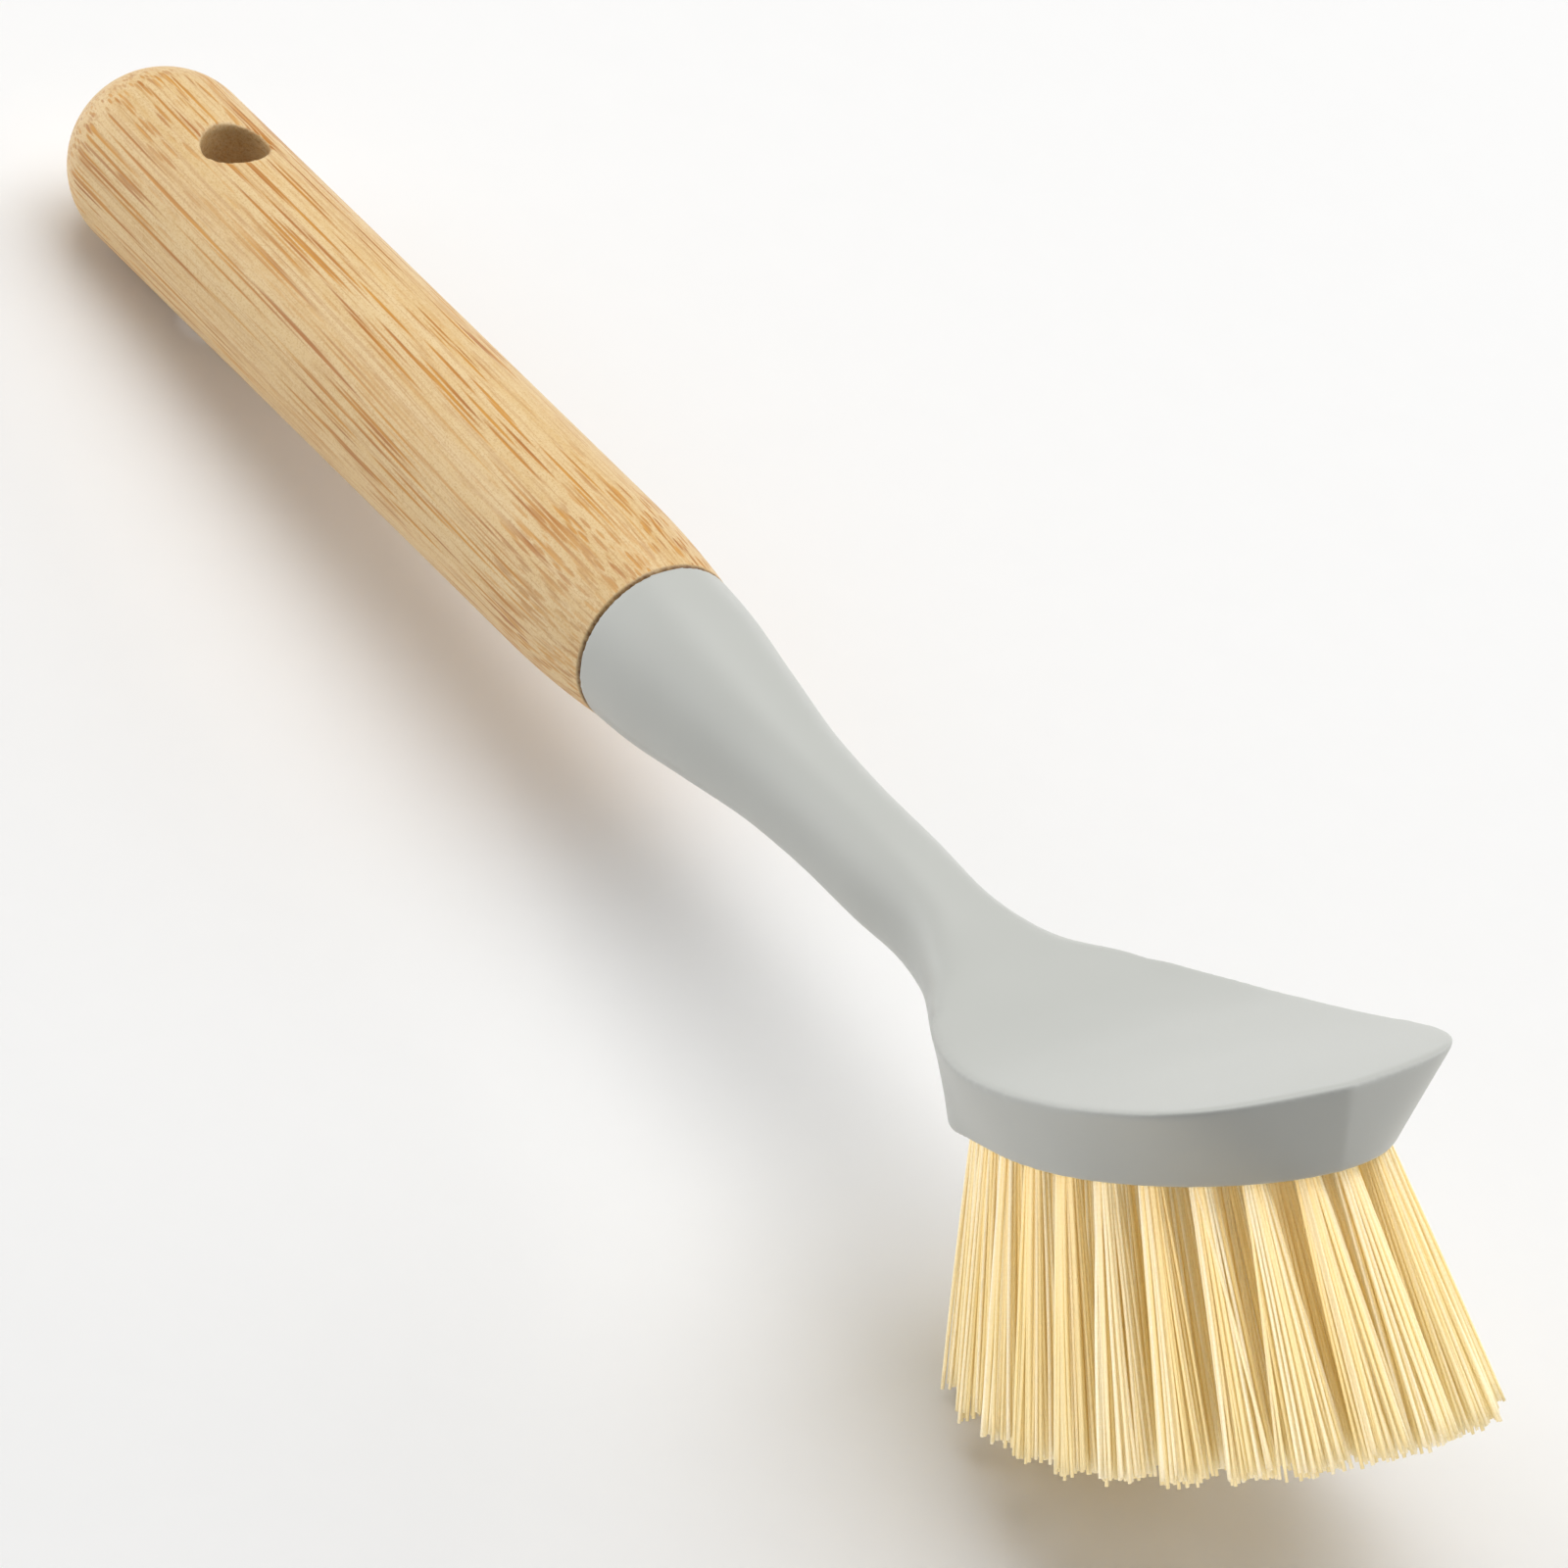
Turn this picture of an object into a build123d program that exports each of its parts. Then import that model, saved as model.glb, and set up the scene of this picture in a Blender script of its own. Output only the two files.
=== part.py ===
from build123d import *
import os
from math import acos, atan2, cos, degrees, hypot, pi, radians, sin, sqrt

# Dish brush, in millimetres. It is built in the frame of its head: +X runs forward to the nose, +Y to
# one side, +Z up out of the back of the head, and z = 0 is the bristle face. At the end the whole brush
# is tipped back until it lies as on a worktop, on its rear bristles and on the end of its handle.

# Bamboo handle
handle_diameter = 23.5
handle_length = 124.0
joint_diameter = 21.4
shoulder_length = 17.0
shoulder_edge_chamfer = 0.6
hanging_hole_diameter = 8.2
hanging_hole_from_end = 26.0
hanging_hole_chamfer = 0.5

# Tang of the moulding, and the blind socket that it is glued into
tang_diameter = 11.0
tang_length = 27.0
tang_nose_chamfer = 1.0
tang_clearance = 0.1
socket_end_gap = 1.5

# Neck: its axis runs back and up from the throat, where it enters the head
neck_angle = 24.8
neck_length = 80.0
neck_edge_chamfer = 0.3
waist_diameter = 13.1
throat_diameter = 13.0
neck_bar_share = 0.6
flare_share = 0.48
throat_height = 11.0

# Head
head_length = 65.0
head_width = 46.0
face_width = 39.0
nose_overhang = 4.4
wall_height = 11.0
underside_squareness = 2.2

# Tuft holes in the face, drilled along each tuft's own lean
hole_diameter = 3.3
hole_depth = 6.6
rim_inset = 2.6
row_spacing = 5.3
row_counts = [11, 8, 5]
centre_row_count = 2
centre_row_pitch = 9.0
nose_crowding = 1.1

# Tufts
bristle_length = 34.3
longest_from_nose = 26.0
end_trim = 1.4
plug_clearance = 0.05
strand_radius = 0.4
strand_sides = 3
ring_strands = 6
ring_radius = 1.1
tip_spread = 2.1
strand_root_depth = 1.0
tip_unevenness = 0.45
fan_centre_from_nose = 42.0
fan_reach = 106.0
floor_cut = 0.4

# Metal anchors that hold the folded filaments near the bottom of each hole
anchor_thickness = 0.4
anchor_height = 1.5
anchor_from_bottom = 0.8
anchor_end_gap = 0.06

overrun = 2.0

# Head outlines from nose to rear: shares of the length back from the nose foot, and of the half width
face_outline_shares = [
    (0.044, 0.4), (0.112, 0.63), (0.209, 0.82), (0.338, 0.955), (0.477, 1.0),
    (0.615, 0.965), (0.742, 0.872), (0.849, 0.77), (0.932, 0.665), (0.983, 0.48),
]
top_outline_shares = [
    (0.023, 0.717), (0.1, 0.896), (0.215, 0.983), (0.366, 1.0), (0.545, 0.975),
    (0.669, 0.925), (0.774, 0.845), (0.868, 0.72), (0.928, 0.54), (0.972, 0.33),
]
# Top of the head along its middle: shares of the length back from the nose foot, and of the wall height
scoop_shares = [
    (-0.147, 1.0), (-0.052, 0.995), (0.031, 0.99), (0.126, 0.975), (0.277, 0.935), (0.44, 0.905),
    (0.575, 0.925), (0.68, 0.965), (0.774, 1.045), (0.868, 1.17), (0.968, 1.41), (1.078, 1.79),
    (1.203, 2.3),
]
# Round sections where the neck bar runs on into the fishtail, as shares of the neck's length
throat_shares = [0.58, 0.7, 0.81]
# Fishtail where the neck widens into the head: shares of the head's length back from the nose foot, of its
# half width, and of the wall height for its underside and its top, then how square its upper half is
fishtail_shares = [
    (1.117, 0.36, 0.7, 1.93, 2.4), (1.031, 0.475, 0.38, 1.76, 3.6),
    (0.955, 0.585, 0.22, 1.56, 4.4), (0.85, 0.57, 0.3, 1.3, 4.4),
]
section_points = 16

handle_radius = handle_diameter / 2
joint_radius = joint_diameter / 2
golden_angle = pi * (3 - sqrt(5))
neck_slope = radians(neck_angle)
neck_axis = Vector(cos(neck_slope), 0, -sin(neck_slope))
neck_normal = Vector(sin(neck_slope), 0, cos(neck_slope))
throat = Vector(-head_length, 0, throat_height)
joint_centre = throat - neck_axis * neck_length
handle_end = joint_centre - neck_axis * handle_length
dome_centre = handle_end + neck_axis * handle_radius
hole_centre = handle_end + neck_axis * hanging_hole_from_end


def bamboo_handle():
    """Turned bar with a domed end, a rounded shoulder at the joint, a hanging hole and a blind socket."""
    shoulder_start = handle_length - shoulder_length
    rim_start = handle_length - shoulder_edge_chamfer
    with BuildPart() as bar:
        with BuildSketch(Plane.XY):
            with BuildLine():
                CenterArc((handle_radius, 0), handle_radius, 180, -90)
                Line((handle_radius, handle_radius), (shoulder_start, handle_radius))
                TangentArc((shoulder_start, handle_radius), (rim_start, joint_radius), tangent=(1, 0))
                Polyline((rim_start, joint_radius), (handle_length, joint_radius - shoulder_edge_chamfer),
                         (handle_length, 0), (0, 0))
            make_face()
        revolve(axis=Axis.X)
        with Locations((hanging_hole_from_end, 0, 0)):
            Cylinder(hanging_hole_diameter / 2, handle_diameter + overrun, mode=Mode.SUBTRACT)
        hole_rims = [e for e in bar.edges() if is_hole_rim(e)]
        chamfer(hole_rims, hanging_hole_chamfer)
        socket_depth = tang_length + socket_end_gap
        with Locations(Location((handle_length - socket_depth, 0, 0), (0, 90, 0))):
            Cylinder(tang_diameter / 2 + tang_clearance, socket_depth + overrun,
                     align=(Align.CENTER, Align.CENTER, Align.MIN), mode=Mode.SUBTRACT)
    plane = Plane(origin=handle_end, x_dir=neck_axis, z_dir=neck_normal)
    return plane.location * bar.part


def is_hole_rim(edge):
    """True for the two edges where the hanging hole breaks through the bar."""
    middle = edge.center(CenterOf.BOUNDING_BOX)
    reach = hanging_hole_diameter / 2
    at_hole = abs(middle.X - hanging_hole_from_end) < reach / 2
    return at_hole and abs(middle.Z) > reach and edge.length > reach


def outline(level):
    """Closed outline of the head at a height, carried out from the face by the draft of the walls."""
    rise = level / wall_height
    points = []
    for (face_back, face_out), (top_back, top_out) in zip(face_outline_shares, top_outline_shares):
        back = face_back + (top_back - face_back) * rise
        out = face_out * face_width + (top_out * head_width - face_out * face_width) * rise
        points.append(Vector(-back * head_length, out / 2, level))
    nose = Vector(nose_overhang * rise, 0, level)
    rear = Vector(-head_length, 0, level)
    left = Spline([*points, rear], tangents=[points[0] - nose, Vector(0, -1, 0)])
    front_left = Line(nose, points[0])
    return Wire([front_left, left, left.mirror(Plane.XZ), front_left.mirror(Plane.XZ)])


def superellipse(plane, half_width, half_height, upper, lower):
    """Smooth closed section: each half is an ellipse at squareness 2 and fuller above that."""
    points = []
    for i in range(section_points):
        turn = 2 * pi * i / section_points
        c = cos(turn)
        s = sin(turn)
        squareness = upper if s > 0 else lower
        x = half_width * abs(c) ** (2 / squareness) * (1 if c > 0 else -1)
        y = half_height * abs(s) ** (2 / squareness) * (1 if s > 0 else -1)
        points.append(plane.from_local_coords((x, y)))
    return Face(Wire([Edge.make_spline(points, periodic=True)]))


def neck_bar():
    """Round part of the neck, turned from the chamfered joint through the flare to the waist."""
    waist_radius = waist_diameter / 2
    bar_length = neck_bar_share * neck_length
    rim = (neck_edge_chamfer, joint_radius)
    halfway = (flare_share * neck_length / 2, (joint_radius + waist_radius) / 2)
    waist = (flare_share * neck_length, waist_radius)
    with BuildPart() as bar:
        with BuildSketch(Plane.XY):
            with BuildLine():
                Polyline((bar_length, 0), (0, 0), (0, joint_radius - neck_edge_chamfer), rim)
                flare = TangentArc(rim, halfway, tangent=(1, 0))
                TangentArc(halfway, waist, tangent=flare % 1)
                Polyline(waist, (bar_length, waist_radius), (bar_length, 0))
            make_face()
        revolve(axis=Axis.X)
    return Plane(origin=joint_centre, x_dir=neck_axis, z_dir=neck_normal).location * bar.part


def fishtail():
    """Loft from inside the round neck bar to inside the head, before the head's top is scooped."""
    sections = []
    for station in throat_shares:
        centre = joint_centre + neck_axis * (station * neck_length)
        plane = Plane(origin=centre, x_dir=(0, 1, 0), z_dir=neck_axis)
        sections.append(superellipse(plane, throat_diameter / 2, throat_diameter / 2, 2, 2))
    for back, out, bottom, top, upper in fishtail_shares:
        centre = Vector(-back * head_length, 0, (bottom + top) / 2 * wall_height)
        plane = Plane(origin=centre, x_dir=(0, 1, 0), z_dir=(1, 0, 0))
        half_width = out * head_width / 2
        half_height = (top - bottom) / 2 * wall_height
        sections.append(superellipse(plane, half_width, half_height, upper, underside_squareness))
    return loft(sections)


def scoop_cutter():
    """Everything above the dished top of the head."""
    low = [Vector(-back * head_length, 0, up * wall_height) for back, up in scoop_shares]
    ceiling = low[-1].Z + overrun
    rim = Spline(low)
    lid = Polyline(low[-1], (low[-1].X, 0, ceiling), (low[0].X, 0, ceiling), low[0])
    return extrude(Face(Wire([rim, *lid.edges()])), amount=head_width, both=True, dir=(0, 1, 0))


def head_body():
    """Drafted prism of the head, from the bristle face to above its top."""
    return loft([Face(outline(0)), Face(outline(wall_height * scoop_shares[-3][1]))], ruled=True)


def tuft_axis(root):
    """Direction of a tuft out of the face: the tufts fan out from a point well above the head."""
    return Vector(root.X + fan_centre_from_nose, root.Y, -fan_reach).normalized()


def row_curve(inset):
    """One side of a row of tufts, from the nose to the rear: the face outline drawn in by an inset."""
    middle = head_length / 2
    shrink_x = 1 - inset / middle
    shrink_y = 1 - inset / (face_width / 2)
    points = []
    for back, out in [(0, 0), *face_outline_shares, (1, 0)]:
        forward = (middle - back * head_length) * shrink_x
        points.append(Vector(forward - middle, out * face_width / 2 * shrink_y))
    nose, first, *others = points
    return Wire([Line(nose, first), Spline([first, *others], tangents=[first - nose, Vector(0, -1, 0)])])


def tuft_roots():
    """Centres of the tuft holes on the face, row by row inwards, each hole followed by its mirror image."""
    roots = []
    for row, count in enumerate(row_counts):
        curve = row_curve(rim_inset + row * row_spacing)
        for i in range(count):
            spot = curve.position_at(((i + 0.5) / count) ** nose_crowding)
            roots += [Vector(spot.X, spot.Y), Vector(spot.X, -spot.Y)]
    for i in range(centre_row_count):
        step = i - (centre_row_count - 1) / 2
        roots.append(Vector(-head_length / 2 + step * centre_row_pitch, 0))
    return roots


def tuft_plane(root):
    """Plane across a tuft at its root, whose normal points down and out along the tuft."""
    return Plane(origin=root, x_dir=(0, 1, 0), z_dir=tuft_axis(root))


def head_and_neck(roots):
    """The moulding: drafted head with a pointed nose and a dished top, neck, tang and tuft holes."""
    body = neck_bar() + fishtail() + head_body() - scoop_cutter()
    tang_plane = Plane(origin=joint_centre, x_dir=(0, 1, 0), z_dir=-neck_axis)
    tang = Cylinder(tang_diameter / 2, tang_length + overrun, align=(Align.CENTER, Align.CENTER, Align.MIN))
    tang = chamfer(tang.faces().sort_by(Axis.Z)[-1].edges(), tang_nose_chamfer)
    body += tang_plane.offset(-overrun).location * tang
    return body - [tuft_plane(root).location * plug(index, 0, overrun) for index, root in enumerate(roots)]


def plug(index, clearance, reach):
    """Six-sided prism that fills a tuft hole up to a reach above the face, turned from tuft to tuft."""
    turn = degrees(index * golden_angle)
    hexagon = RegularPolygon(hole_diameter / 2 - clearance, ring_strands, rotation=turn)
    return Pos(0, 0, -hole_depth) * extrude(hexagon, hole_depth + reach)


def strand_spots(index):
    """Places of a tuft's strands across its plug: one in the middle of a ring, turned from tuft to tuft."""
    angles = [index * golden_angle + 2 * pi * i / ring_strands for i in range(ring_strands)]
    return [(0, 0), *[(ring_radius * cos(angle), ring_radius * sin(angle)) for angle in angles]]


def strand_length(root, index, number):
    """Length of one strand: shorter towards the nose and the rear, and a little uneven as after a trim."""
    trim = end_trim * ((root.X + longest_from_nose) / longest_from_nose) ** 2
    return bristle_length - trim + tip_unevenness * sin(golden_angle * (index + number * ring_strands))


def strand_tip(root, index, number):
    """Centre of the free end of one strand, in the frame of the head."""
    x, y = strand_spots(index)[number]
    plane = tuft_plane(root)
    return plane.from_local_coords((x * tip_spread, y * tip_spread, strand_length(root, index, number)))


def anchor_box(grow):
    """Flat metal anchor across the bottom of a tuft hole, with its ends drawn in or run past the plug."""
    width = hole_diameter + 2 * grow
    box = Box(width, anchor_thickness, anchor_height, align=(Align.CENTER, Align.CENTER, Align.MIN))
    return Pos(0, 0, anchor_from_bottom - hole_depth) * box


def tuft(root, index):
    """Plug of packed filaments in its hole, slotted for the anchor, with the free strands fused to it."""
    strands = []
    for number, (x, y) in enumerate(strand_spots(index)):
        length = strand_length(root, index, number)
        slide = -strand_root_depth / length
        low = 1 + (tip_spread - 1) * slide
        root_end = Pos(x * low, y * low, -strand_root_depth) * RegularPolygon(strand_radius, strand_sides)
        tip_end = Pos(x * tip_spread, y * tip_spread, length) * RegularPolygon(strand_radius, strand_sides)
        strands.append(loft([root_end.face(), tip_end.face()], ruled=True))
    whole = plug(index, plug_clearance, 0).fuse(*strands) - anchor_box(overrun)
    return tuft_plane(root).location * whole


def resting_place(roots):
    """Tilt in degrees, about Y, at which the rear bristles and the handle end touch the worktop together."""
    tilt = 0
    for index, root in enumerate(roots):
        for number in range(ring_strands + 1):
            gap = dome_centre - strand_tip(root, index, number)
            reach = hypot(gap.X, gap.Z)
            tilt = max(tilt, acos((handle_radius + floor_cut) / reach) - atan2(-gap.X, gap.Z))
    return degrees(tilt)


roots = tuft_roots()
parts = {"bamboo_handle": bamboo_handle(), "head_and_neck": head_and_neck(roots)}
for index, root in enumerate(roots):
    parts[f"tuft_{index + 1:02d}"] = tuft(root, index)
anchors = [tuft_plane(root).location * anchor_box(-anchor_end_gap) for root in roots]
parts["tuft_anchors"] = Compound(anchors)

tilt = resting_place(roots)
tip_back = Rot(0, -tilt, 0)
lying = {name: tip_back * shape for name, shape in parts.items()}
floor = lying["bamboo_handle"].bounding_box().min.Z
worktop = Pos(0, 0, floor) * Box(4 * head_length, 4 * head_width, 2 * head_length,
                                 align=(Align.CENTER, Align.CENTER, Align.MAX))
for name, shape in lying.items():
    if shape.bounding_box().min.Z < floor and name.startswith("tuft_"):
        lying[name] = shape - worktop
extent = Compound(list(lying.values())).bounding_box()
seat = Pos(-extent.center().X, -extent.center().Y, -floor)

os.makedirs("parts", exist_ok=True)
for name, shape in lying.items():
    export_step(seat * shape, f"parts/{name}.step")
hole_place = (seat * tip_back * Pos(hole_centre)).position
hole_axis = neck_normal.rotate(Axis.Y, -tilt)
print("tufts", len(roots), "strands", len(roots) * (ring_strands + 1))
print("tilt", round(tilt, 3), "seat", [round(v, 3) for v in seat.position])
print("hole centre", [round(v, 3) for v in (hole_place.X, hole_place.Y, hole_place.Z)])
print("hole axis", [round(v, 4) for v in hole_axis])
print("size", [round(v, 2) for v in extent.size])
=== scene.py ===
from math import cos, pi, radians, sin, sqrt

import bpy
import numpy as np
from mathutils import Matrix, Vector


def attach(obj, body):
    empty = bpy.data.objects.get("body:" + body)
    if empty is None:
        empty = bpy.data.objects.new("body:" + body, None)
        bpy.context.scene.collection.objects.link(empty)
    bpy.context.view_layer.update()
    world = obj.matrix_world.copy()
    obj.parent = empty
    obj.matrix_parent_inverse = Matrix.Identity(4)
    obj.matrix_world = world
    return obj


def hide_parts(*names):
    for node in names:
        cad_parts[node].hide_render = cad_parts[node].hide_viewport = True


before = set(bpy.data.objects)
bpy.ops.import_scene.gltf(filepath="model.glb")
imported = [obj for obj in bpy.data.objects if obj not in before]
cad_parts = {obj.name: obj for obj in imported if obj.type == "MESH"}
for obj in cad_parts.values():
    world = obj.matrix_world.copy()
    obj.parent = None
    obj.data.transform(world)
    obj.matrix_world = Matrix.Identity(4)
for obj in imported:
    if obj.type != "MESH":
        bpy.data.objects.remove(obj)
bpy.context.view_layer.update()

# Every size is in metres. The brush is built in the frame of its head, as the CAD is: +X to the nose, +Z up
# out of the back of the head, z = 0 at the bristle face. HEAD_TILT and HEAD_SEAT then lay it on the floor.
HEAD_TILT = radians(32.632)
HEAD_SEAT = (0.118801, -0.000126, 0.063736)
# The skins have very small voxels, so they are made in millimetres and then brought back
MILLIMETRES = 1000.0

# Handle
HANDLE_RADIUS = 0.01175
HANDLE_LENGTH = 0.124
JOINT_RADIUS = 0.0107
SHOULDER_LENGTH = 0.017
SHOULDER_EDGE = 0.0006
HOLE_RADIUS = 0.0041
HOLE_FROM_END = 0.026
SOCKET_RADIUS = 0.0056
SOCKET_DEPTH = 0.0285
# The turned outline starts and ends a hair off its axis: by an angle at the dome, by a radius in the socket
DOME_START = 0.01
SOCKET_END_RADIUS = 0.0001
DOME_STEPS = 60
BAR_STEPS = 120
SHOULDER_STEPS = 40
EDGE_STEPS = 10
HANDLE_SIDES = 220
HANDLE_VOXEL = 0.00025
# The drill for the hanging hole reaches this many of the bar's radii up and down from its axis
DRILL_REACH = 1.3
DRILL_SIDES = 96
DRILL_RINGS = 40
# Easing of the bar's skin: fully within a reach of the hole's rims, and a little everywhere else
HOLE_EASE_REACH = 0.0014
HANDLE_EASE = 0.12
HANDLE_EASE_ROUNDS = 14
# Drift of the bamboo's fibres to the side and up: their lean to the bar, then how they wander along it, as
# sway, wave length and phase
FIBRE_DRIFTS = [(0.018, 0.00016, 0.0125, 0.0), (0.026, 0.00014, 0.0162, 1.3)]
# Darkening inside the hanging hole, and the dark line at the joint: each pair is where it begins and where
# it is full
HOLE_DARKENING = 0.3
HOLE_DARKENING_REACH = (HOLE_RADIUS + 0.0004, HOLE_RADIUS - 0.0001)
JOINT_LINE_REACH = (HANDLE_LENGTH - 0.0006, HANDLE_LENGTH - 0.0002)

# Neck, with its sections as shares of its length and of the step in size from the waist to the joint
NECK_SLOPE = radians(24.8)
NECK_LENGTH = 0.080
WAIST_HALF_WIDTH = 0.00668
WAIST_HALF_HEIGHT = 0.0064
THROAT_HEIGHT = 0.011
NECK_SHARES = [
    (0.0, 1.0), (0.048, 0.96), (0.105, 0.86), (0.173, 0.67), (0.259, 0.43), (0.345, 0.2),
    (0.431, 0.07), (0.547, 0.0), (0.672, 0.0), (0.81, 0.0),
]
ROUND = 2.0
TANG_RADIUS = 0.0055
TANG_LENGTH = 0.027
TANG_CHAMFER = 0.001
TANG_OVERLAP = 0.003

# Head: outlines from nose to rear, the dished top and the fishtail, as shares of the head's own sizes
HEAD_LENGTH = 0.065
HEAD_HALF_WIDTH = 0.0233
FACE_HALF_WIDTH = 0.0195
NOSE_OVERHANG = 0.0047
WALL_HEIGHT = 0.011
UNDERSIDE_SQUARENESS = 2.2
RIM_RADIUS = 0.0009
FACE_SHARES = [
    (0.044, 0.4), (0.112, 0.627), (0.209, 0.82), (0.338, 0.958), (0.477, 1.005),
    (0.615, 0.972), (0.742, 0.887), (0.857, 0.80), (0.948, 0.71), (0.995, 0.53),
]
TOP_SHARES = [
    (0.012, 0.725), (0.092, 0.905), (0.215, 0.995), (0.366, 1.018), (0.545, 0.998),
    (0.669, 0.953), (0.774, 0.867), (0.866, 0.752), (0.928, 0.637), (0.972, 0.45),
]
SCOOP_SHARES = [
    (-0.147, 1.0), (-0.052, 0.995), (0.031, 0.99), (0.126, 0.975), (0.277, 0.935), (0.44, 0.905),
    (0.575, 0.925), (0.68, 0.965), (0.774, 1.045), (0.868, 1.17), (0.968, 1.41), (1.078, 1.79),
    (1.203, 2.3),
]
# Fishtail sections: share back from the nose, half width, underside, top and squareness of the upper half
FISHTAIL_SHARES = [
    (1.117, 0.375, 0.64, 1.93, 2.1), (1.031, 0.5, 0.32, 1.74, 2.7),
    (0.955, 0.61, 0.2, 1.56, 5.0), (0.85, 0.70, 0.3, 1.33, 6.0),
]
# How softly the top runs out, over the head and where it dies away into the round neck
LID_BLEND_HEAD = 0.0006
LID_BLEND_NECK = 0.0044
LID_BLEND_RUN = (-0.056, -0.070)
OUTLINE_POINTS = 260
HEIGHT_ROUNDS = 12
WALL_ROWS = 48
RIM_ROWS = 9
LID_COLUMNS = 90
SECTIONS = 340
SECTION_POINTS = 200
TANG_SIDES = 60
MESH_VOXEL = 0.0003

# The neck's directions, down to the head and up, and the middle of its joint with the handle
NECK_AXIS = np.array([cos(NECK_SLOPE), 0, -sin(NECK_SLOPE)])
NECK_UP = np.array([sin(NECK_SLOPE), 0, cos(NECK_SLOPE)])
JOINT_CENTRE = np.array([
    -HEAD_LENGTH - NECK_LENGTH * cos(NECK_SLOPE), 0, THROAT_HEIGHT + NECK_LENGTH * sin(NECK_SLOPE),
])

# Easing of the moulding's skin: a little everywhere, more on the upper walls, fully behind the head, and
# hardly at the joint. Each pair is where an effect begins and where it is full
SKIN_EASE = 0.15
UPPER_EASE = 0.3
UPPER_WALL = (0.45, 0.8)
BEHIND_HEAD = (-HEAD_LENGTH + 0.008, -HEAD_LENGTH)
JOINT_REACH = (0.0025, 0.0008)
JOINT_HOLD = 0.92
SKIN_ROUNDS = 44
LEAST_TOP = 0.001
# Then once more where the fishtail runs into the walls, but less so near the head's top
JUNCTION_FRONT = (-0.053, -0.061)
JUNCTION_REAR = (-0.082, -0.074)
JUNCTION_FOOT = (0.0005, 0.004)
TOP_HOLD = 0.85
TOP_HOLD_SHARES = (0.72, 0.92)
TOP_HOLD_RUN = (-0.068, -0.062)
JUNCTION_ROUNDS = 110

# Tufts: their axes fan out from one centre, and each spreads to TIP_SPREAD times its own radius, though no
# tip goes further than TIP_REACH from the brush's middle plane
FAN_CENTRE = (-0.042, 0.0, 0.106)
TUFT_RADIUS = 0.00158
TIP_SPREAD = 2.3
TIP_REACH = 0.0246
BRISTLE_LENGTH = 0.0343
LONGEST_FROM_NOSE = 0.026
END_TRIM = 0.0014
FILAMENTS = 58
FILAMENT_RADIUS = 0.000222
FILAMENT_SIDES = 6
FILAMENT_RINGS = 14
ROOT_DEPTH = 0.0015
GOLDEN_ANGLE = pi * (3 - sqrt(5))
# How the filaments differ: the scatter of their tips, bows and lengths, a few strays, and their thickness
TIP_SCATTER = 0.00020
BOW_SCATTER = 0.00012
LENGTH_SCATTER = 0.00042
STRAY_SHARE = 0.03
STRAY_SCATTER = 8.0
THICKNESS_RANGE = (0.85, 1.1)
FLOOR_CLEARANCE = FILAMENT_RADIUS * 0.8

# Bamboo: streaks in three layers, the long lines, the short dashes and the dots at the shoulder. Each has
# its cells to the metre along and across the bar, the distances from a cell's middle at which its streak
# thins, is half gone and ends, whether it keeps to the long lines' bands, and its strength along the bar
STREAK_LAYERS = [
    ((26, 1900, 1900), (0.29, 0.38, 0.45), True, [(0.02, 0.2), (0.08, 1.0), (0.88, 1.0), (0.97, 0.3)]),
    ((140, 1500, 1500), (0.25, 0.32, 0.38), False,
     [(0.03, 0.15), (0.10, 0.9), (0.28, 0.35), (0.78, 0.2), (0.88, 0.9)]),
    ((240, 1500, 1500), (0.28, 0.34, 0.40), False, [(0.84, 0.0), (0.91, 1.0)]),
]
BAMBOO_TONES = ((0.76, 0.505, 0.215), (0.85, 0.615, 0.31))
BAMBOO_PALE = (0.89, 0.69, 0.40)
BAMBOO_LIGHT = (0.90, 0.70, 0.41)
BAMBOO_SPECK = (0.60, 0.33, 0.11)
BAMBOO_LINE = (0.56, 0.27, 0.085)
BAMBOO_STREAKS = ((0.69, 0.31, 0.04), (0.47, 0.16, 0.022))
BAMBOO_DARKENING = (0.20, 0.10, 0.035)

# Other materials
PLASTIC_TONES = ((0.556, 0.567, 0.537), (0.581, 0.592, 0.562))
PLASTIC_GRAIN = (0.66, 0.67, 0.64)
# Colour from root to tip. The warm, bright roots are painted light: they stand in for light scattered inside
# the bundles under the head's shade
FIBRE_TONES_AND_PAINTED_ROOT_LIGHT = [
    (0.0, (0.98, 0.84, 0.50)), (0.2, (0.96, 0.83, 0.49)),
    (0.6, (0.885, 0.775, 0.44)), (1.0, (0.825, 0.74, 0.46)),
]
FIBRE_PALE = (0.93, 0.90, 0.74)
# Painted shade on one half of each crimp wave
FIBRE_CRIMP_SHADE = (0.85, 0.62, 0.28)
CRIMPS = 62
BRASS_TONES = ((0.62, 0.47, 0.2), (0.78, 0.63, 0.32))
FLOOR_TONES = ((0.920, 0.920, 0.920), (0.926, 0.926, 0.926))

# Studio: lights as name, direction, distance, size, power and colour, all aimed a little above the floor
FLOOR_REACH = 6.0
LIGHT_AIM = (0, 0, 0.03)
WHITE = (1.0, 1.0, 1.0)
LIGHTS = [
    ("overhead", (-0.12, 0.17, 0.97), 1.5, 1.7, 23.5, (1.0, 0.995, 0.985)),
    ("left", (-0.66, -0.70, 0.34), 1.4, 1.2, 7.2, WHITE),
    ("rim", (-0.97, -0.20, 0.13), 1.4, 0.5, 1.3, WHITE),
    ("right", (0.28, 0.91, 0.32), 1.4, 1.2, 8, WHITE),
]
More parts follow.
